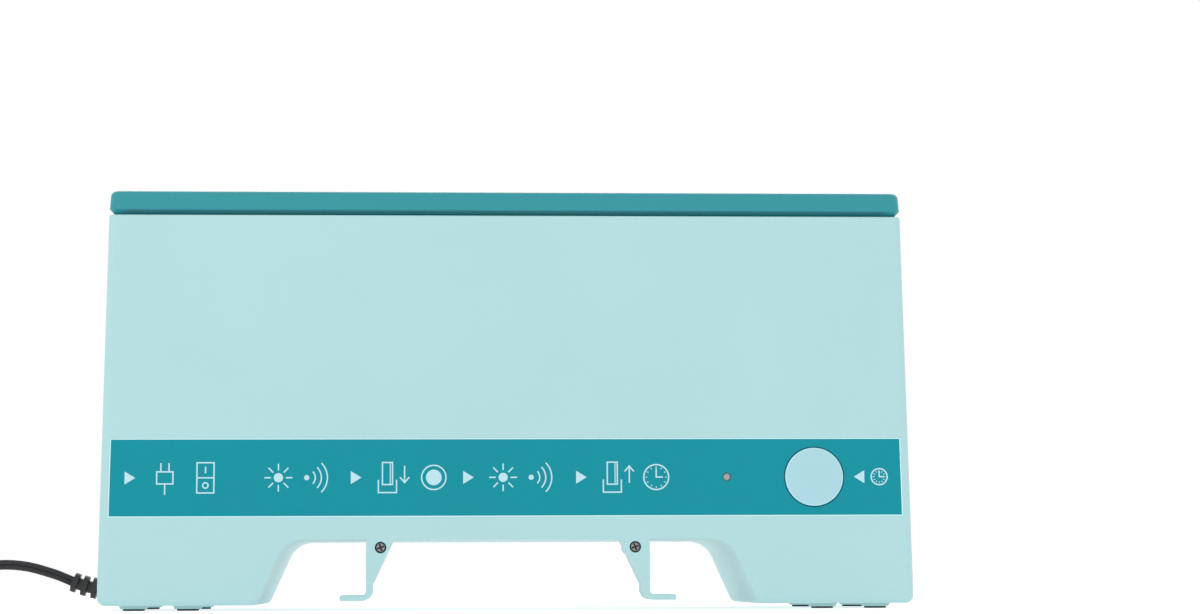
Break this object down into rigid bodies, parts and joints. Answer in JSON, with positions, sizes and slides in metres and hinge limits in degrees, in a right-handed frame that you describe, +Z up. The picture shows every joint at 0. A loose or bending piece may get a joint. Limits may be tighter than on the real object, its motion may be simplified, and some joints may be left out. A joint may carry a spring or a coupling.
{
  "type": "thermal binding machine",
  "caption": "Desk-top thermal binding machine: mint case on legs with an arch between, hinged teal lid over heating and cooling slots, push button, side switch and mains lead",
  "frame": {"origin": "on the table under the middle of the case, at the undersides of the rubber feet", "axes": "+X to the right as seen from the front, +Y to the back, +Z up"},
  "size_m": [0.606, 0.1672, 0.2101],
  "materials": {
    "mint_plastic": "fine moulded grain, pale mint",
    "teal_plastic": "fine moulded grain, teal",
    "tray_plastic": "smooth moulded, pale mint",
    "label_film": "printed film, satin teal",
    "button_plastic": "satin moulded, pale blue",
    "lens_plastic": "frosted clear plastic",
    "black_rubber": "matt rubber",
    "cord_rubber": "smooth flexible sheath, charcoal",
    "plug_plastic": "moulded soft plastic, charcoal",
    "tie_plastic": "woven strap, charcoal",
    "dark_plastic": "moulded, dark grey",
    "rocker_plastic": "moulded, black",
    "blue_plastic": "moulded, blue",
    "ochre_plastic": "moulded, ochre",
    "green_plastic": "moulded, green",
    "board_laminate": "glass laminate with green mask",
    "element_mica": "mica-wrapped heating strip",
    "mica_board": "pressed insulating board",
    "ceramic": "glazed ceramic",
    "zinc_steel": "zinc-plated sheet and wire",
    "dark_steel": "blackened steel",
    "plate_aluminium": "extruded, unpolished",
    "tinned_brass": "nickel-plated brass",
    "wire_brown": "heat-proof sleeving, brown",
    "wire_blue": "heat-proof sleeving, blue",
    "wire_white": "woven glass sleeving, off-white"
  },
  "bodies": {
    "case": {"front_cover": "mint_plastic", "main_housing": "mint_plastic", "top_deck": "mint_plastic", "deck_screws": "zinc_steel", "lid_bumpers": "black_rubber", "label_strip": "label_film", "rubber_feet": "black_rubber", "hook_screws": "dark_steel", "button_spring": "zinc_steel", "tact_switch": "dark_plastic", "led_lens": "lens_plastic", "status_led": "lens_plastic", "control_board": "board_laminate", "board_screws": "zinc_steel", "relay": "blue_plastic", "buzzer": "dark_plastic", "capacitor": "ochre_plastic", "terminal_block": "green_plastic", "switch_frame": "dark_plastic", "switch_terminals": "tinned_brass", "heating_well": "zinc_steel", "heater_plate": "plate_aluminium", "heating_elements": "element_mica", "insulation_board": "mica_board", "heater_tray": "zinc_steel", "tray_rivets": "plate_aluminium", "thermostat": "ceramic", "thermal_fuse": "ceramic", "fuse_clip": "zinc_steel", "cooling_tray": "tray_plastic", "strain_relief": "cord_rubber", "cord_run": "cord_rubber", "cord_coil": "cord_rubber", "cord_tie": "tie_plastic", "plug_body": "plug_plastic", "plug_pins": "tinned_brass", "mains_wires": "wire_brown", "switch_wire": "wire_blue", "heater_wires": "wire_white"},
    "lid": {"lid": "teal_plastic", "hinge_pins": "zinc_steel"},
    "timer_button": {"timer_button": "button_plastic", "switch_plunger": "dark_plastic"},
    "rocker": {"rocker": "rocker_plastic"}
  },
  "joints": [
    {"name": "lid_hinge", "type": "hinge", "parent": "case", "child": "lid", "pos_m": [0, 0.05272, 0.2042], "axis": [-1, 0, 0], "range_deg": [0, 105]},
    {"name": "timer_press", "type": "slide", "parent": "case", "child": "timer_button", "axis": [0, 0.9986, -0.0523], "range_m": [0, 0.0015], "stiffness_N_per_m": 800, "springref_m": -0.001, "deforming": ["button_spring"]},
    {"name": "rocker_tilt", "type": "hinge", "parent": "case", "child": "rocker", "pos_m": [0.19674, 0.02, 0.11192], "axis": [0, -1, 0], "range_deg": [0, 18]}
  ]
}
